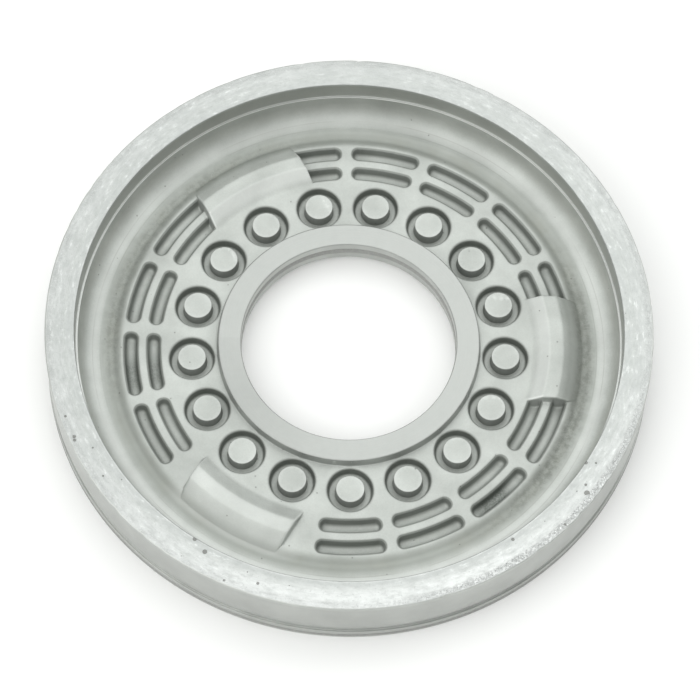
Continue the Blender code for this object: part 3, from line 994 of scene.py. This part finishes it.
    def carve(self, relief, mask, depth):
        return self.math("SUBTRACT", relief, self.math("MULTIPLY", mask, depth))

    def raise_by(self, relief, mask, height):
        return self.math("ADD", relief, self.math("MULTIPLY", mask, height))

    def finish(self, colour, roughness, relief, bump_height, metallic):
        bump = self.add("ShaderNodeBump", {"Height": relief, "Strength": 1.0, "Distance": bump_height * MM})
        values = {
            "Base Color": colour,
            "Roughness": roughness,
            "Normal": bump.outputs[0],
            "Metallic": metallic,
        }
        for key, value in values.items():
            self.fill(self.principled.inputs[key], value)
        return self.material


def cast_material():
    """Die-cast skin: fine grain, faint flow mottling, painted shade with some dirt lower down in the recesses
    and the valley, and painted light and shade by place.
    """
    s = Shader("as_cast_aluminium")
    grain = s.noise(*CAST_GRAIN)
    colour = s.ramp(s.noise(*CAST_MOTTLE), CAST_BASE)
    colour = s.mix(CAST_GRAIN_SHARE, colour, s.ramp(grain, CAST_GRAIN_TONES), "MULTIPLY")
    # Painted shade with some dirt, darker lower down.
    low, high = SHADE_AND_DIRT_HEIGHTS
    depth = s.add("ShaderNodeMapRange", {0: s.height, 1: low, 2: high, 3: 1.0, 4: 0.0}, clamp=True)
    shade_and_dirt = s.product(depth.outputs[0], s.ramp(s.noise(*SHADE_AND_DIRT_NOISE), SHADE_AND_DIRT_RAMP))
    colour = s.paint(colour, shade_and_dirt, SHADE_AND_DIRT_SHARE, SHADE_AND_DIRT_COLOUR)
    # Painted shade on the field's steep walls.
    colour = s.paint_wall_shade(colour)
    # Painted highlight on the edges of bosses and pads.
    colour = s.paint(colour, s.painted_mark("wear_and_highlight"), EDGE_HIGHLIGHT_SHARE, EDGE_HIGHLIGHT_COLOUR)
    # Painted shade on the walls of slots and pockets and at the bosses' feet.
    colour = s.paint(colour, s.painted_mark("painted_shade"), WALL_SHADE_SHARE, WALL_SHADE_COLOUR)
    # The tone table paints shade and light by place, beside the casting's own stains and lines.
    colour = s.paint_tones(colour, CAST_TONES, s.masks(CAST_MASKS))
    distance, chance = s.cells(PIT_CELLS)
    pit = s.product(s.math("LESS_THAN", distance, PIT_RADIUS), s.math("GREATER_THAN", chance, PIT_RARITY))
    colour = s.paint(colour, pit, PIT_SHARE, PIT_COLOUR)
    relief = s.raise_by(grain, s.noise(*CAST_LUMPS), CAST_LUMPS_RELIEF)
    relief = s.carve(relief, pit, PIT_RELIEF)
    return s.finish(colour, s.ramp(grain, CAST_ROUGHNESS), relief, CAST_BUMP, CAST_METALLIC)


def turned_material(name, base):
    """Turned skin with lathe lines round the axis. Returns its shader, colour, roughness and relief."""
    s = Shader(name)
    line = s.raise_by(s.radius, s.height, LATHE_HEIGHT_SHARE)
    fine = s.add("ShaderNodeTexNoise", {"W": line, **LATHE_FINE}, noise_dimensions="1D").outputs[0]
    broad = s.add("ShaderNodeTexNoise", {"W": line, **LATHE_BROAD}, noise_dimensions="1D").outputs[0]
    mottle = s.noise(*TURNED_MOTTLE)
    colour = s.mix(LATHE_SHARE, s.ramp(mottle, base), s.ramp(fine, LATHE_TONES), "MULTIPLY")
    # The tone table paints a highlight on the ledge and shade on the upright wall.
    colour = s.paint_tones(colour, TURNED_TONES, {})
    mean = s.math("ADD", s.math("MULTIPLY", fine, 0.5), s.math("MULTIPLY", mottle, 0.5))
    relief = s.raise_by(fine, broad, LATHE_BROAD_RELIEF)
    return s, colour, s.ramp(mean, TURNED_ROUGHNESS), relief


def plain_turned_material():
    """The turned skin of the ledge, hub ring, bore and outer wall."""
    s, colour, roughness, relief = turned_material("turned_aluminium", TURNED_BASE)
    return s.finish(colour, roughness, relief, TURNED_BUMP, TURNED_METALLIC)


def rim_material():
    """The turned skin of the rim's top, with worn bands, scuffs, casting pores, a chipped edge, a painted
    sheen on its near side and a painted highlight on its near lip.
    """
    s, colour, roughness, relief = turned_material("worn_rim_aluminium", RIM_BASE)
    masks = s.masks(RIM_MASKS)
    streak = s.streaks()
    masks["scuffs"] = s.ramp(streak, SCUFF_RAMP)
    masks["shine"] = s.ramp(streak, SHINE_RAMP)
    # The tone table paints a highlight on the near lip and a sheen on the rim's near side.
    colour = s.paint_tones(colour, RIM_TONES, masks)
    left = s.band(s.angle, *LEFT_STRETCH)
    right = s.band(s.angle, *RIGHT_STRETCH)
    distance, chance = s.cells(PORE_CELLS)
    rarity = s.carve(s.carve(PORE_RARITY, left, PORE_RARITY_DROP), right, PORE_RARITY_DROP)
    size = s.math("MAXIMUM", s.math("SUBTRACT", chance, rarity), 0.0)
    pore = s.math("LESS_THAN", distance, s.math("MULTIPLY", size, PORE_GROWTH))
    colour = s.paint(colour, pore, PORE_SHARE, PORE_COLOUR)
    edge = s.product(s.band(s.radius, *CHIP_BAND), s.math("ADD", CHIP_LEAST, right))
    chip = s.product(s.math("MINIMUM", edge, 1.0), s.ramp(s.noise(*CHIPS), CHIP_RAMP))
    colour = s.paint(colour, chip, CHIP_SHARE, CHIP_COLOUR)
    relief = s.carve(relief, pore, PORE_RELIEF)
    relief = s.carve(relief, chip, CHIP_RELIEF)
    relief = s.raise_by(relief, s.noise(*RIM_LUMPS), RIM_LUMPS_RELIEF)
    return s.finish(colour, roughness, relief, TURNED_BUMP, TURNED_METALLIC)


def rubber_material():
    """Satin grey rubber with fine specks."""
    s = Shader("seal_rubber")
    speck = s.noise(*RUBBER_SPECKS)
    wear_and_highlight = s.noise(*RUBBER_WEAR)
    colour = s.paint(s.ramp(speck, RUBBER_BASE), wear_and_highlight, RUBBER_WEAR_SHARE, RUBBER_WEAR_COLOUR)
    return s.finish(colour, s.ramp(wear_and_highlight, RUBBER_ROUGHNESS), speck, RUBBER_BUMP, 0.0)


def floor_material():
    """Plain pale paper."""
    s = Shader("studio_paper")
    tone = s.noise(*PAPER_TONE)
    s.principled.inputs["Specular IOR Level"].default_value = PAPER_SPECULAR
    return s.finish(s.ramp(tone, PAPER_BASE), s.ramp(tone, PAPER_ROUGHNESS), tone, PAPER_BUMP, 0.0)


# ---------------------------------------------------------------- studio

def add_light(name, location, size, power, colour):
    """A round soft light that aims at the origin."""
    data = bpy.data.lights.new(name, "AREA")
    data.shape = "DISK"
    data.size = size
    data.energy = power
    data.color = colour
    lamp = bpy.data.objects.new(name, data)
    lamp.location = location
    lamp.rotation_euler = (-Vector(location)).to_track_quat("-Z", "Y").to_euler()
    bpy.context.scene.collection.objects.link(lamp)


def add_floor():
    half = STUDIO_HALF
    mesh = bpy.data.meshes.new("studio_floor")
    corners = [(-half, -half, 0), (half, -half, 0), (half, half, 0), (-half, half, 0)]
    mesh.from_pydata(corners, [], [(0, 1, 2, 3)])
    mesh.materials.append(floor_material())
    floor = bpy.data.objects.new("studio_floor", mesh)
    bpy.context.scene.collection.objects.link(floor)


def add_tent():
    """The world's light: brighter from one side, darker from the other."""
    world = bpy.data.worlds.new("studio_world")
    world.use_nodes = True
    tree = world.node_tree
    background = tree.nodes["Background"]
    direction = tree.nodes.new("ShaderNodeTexCoord").outputs["Generated"]
    slope = tree.nodes.new("ShaderNodeVectorMath")
    slope.operation = "DOT_PRODUCT"
    slope.inputs[1].default_value = TENT_SIDE
    tree.links.new(direction, slope.inputs[0])
    tent = tree.nodes.new("ShaderNodeMapRange")
    for socket, value in zip(list(tent.inputs)[1:5], TENT_RANGE):
        socket.default_value = value
    tree.links.new(slope.outputs["Value"], tent.inputs[0])
    tree.links.new(tent.outputs[0], background.inputs[1])
    background.inputs[0].default_value = TENT_COLOUR
    bpy.context.scene.world = world


def add_studio():
    bpy.context.scene.view_settings.view_transform = "Standard"
    add_tent()
    add_floor()
    for light in LIGHTS:
        add_light(*light)


def add_camera():
    """The photo's camera, aimed at a point on the piston's axis."""
    sine, cosine = math.sin(CAMERA_ELEVATION), math.cos(CAMERA_ELEVATION)
    place = Vector((0, -CAMERA_DISTANCE * cosine, CAMERA_DISTANCE * sine + CAMERA_FOCUS_HEIGHT)) * MM
    ahead = Vector((0, cosine, -sine))
    right = Vector((1, 0, 0))
    up = right.cross(ahead)
    roll_right = right * math.cos(CAMERA_ROLL) + up * math.sin(CAMERA_ROLL)
    roll_up = up * math.cos(CAMERA_ROLL) - right * math.sin(CAMERA_ROLL)
    turn = Matrix.Rotation(CAMERA_TURN, 4, "Z")
    axes = Matrix((roll_right, roll_up, -ahead)).transposed().to_4x4()
    data = bpy.data.cameras.new("photo_camera")
    data.sensor_width = CAMERA_SENSOR
    data.lens = CAMERA_LENS
    data.shift_x, data.shift_y = CAMERA_SHIFT
    data.clip_start = CAMERA_CLIP_START
    camera = bpy.data.objects.new("photo_camera", data)
    camera.matrix_world = turn @ Matrix.Translation(place) @ axes
    bpy.context.scene.collection.objects.link(camera)
    bpy.context.scene.camera = camera


# ---------------------------------------------------------------- the scene

def dress(piece, node):
    """Hangs a piece on the CAD's root body, in place of one of its nodes."""
    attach(piece, "root")
    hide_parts(node)


def main():
    casting = build_casting([cast_material(), plain_turned_material(), rim_material()])
    dress(casting, "piston_casting")
    rubber = rubber_material()
    for name in SEALS:
        dress(build_seal(name, rubber), name)
    add_studio()
    add_camera()


main()
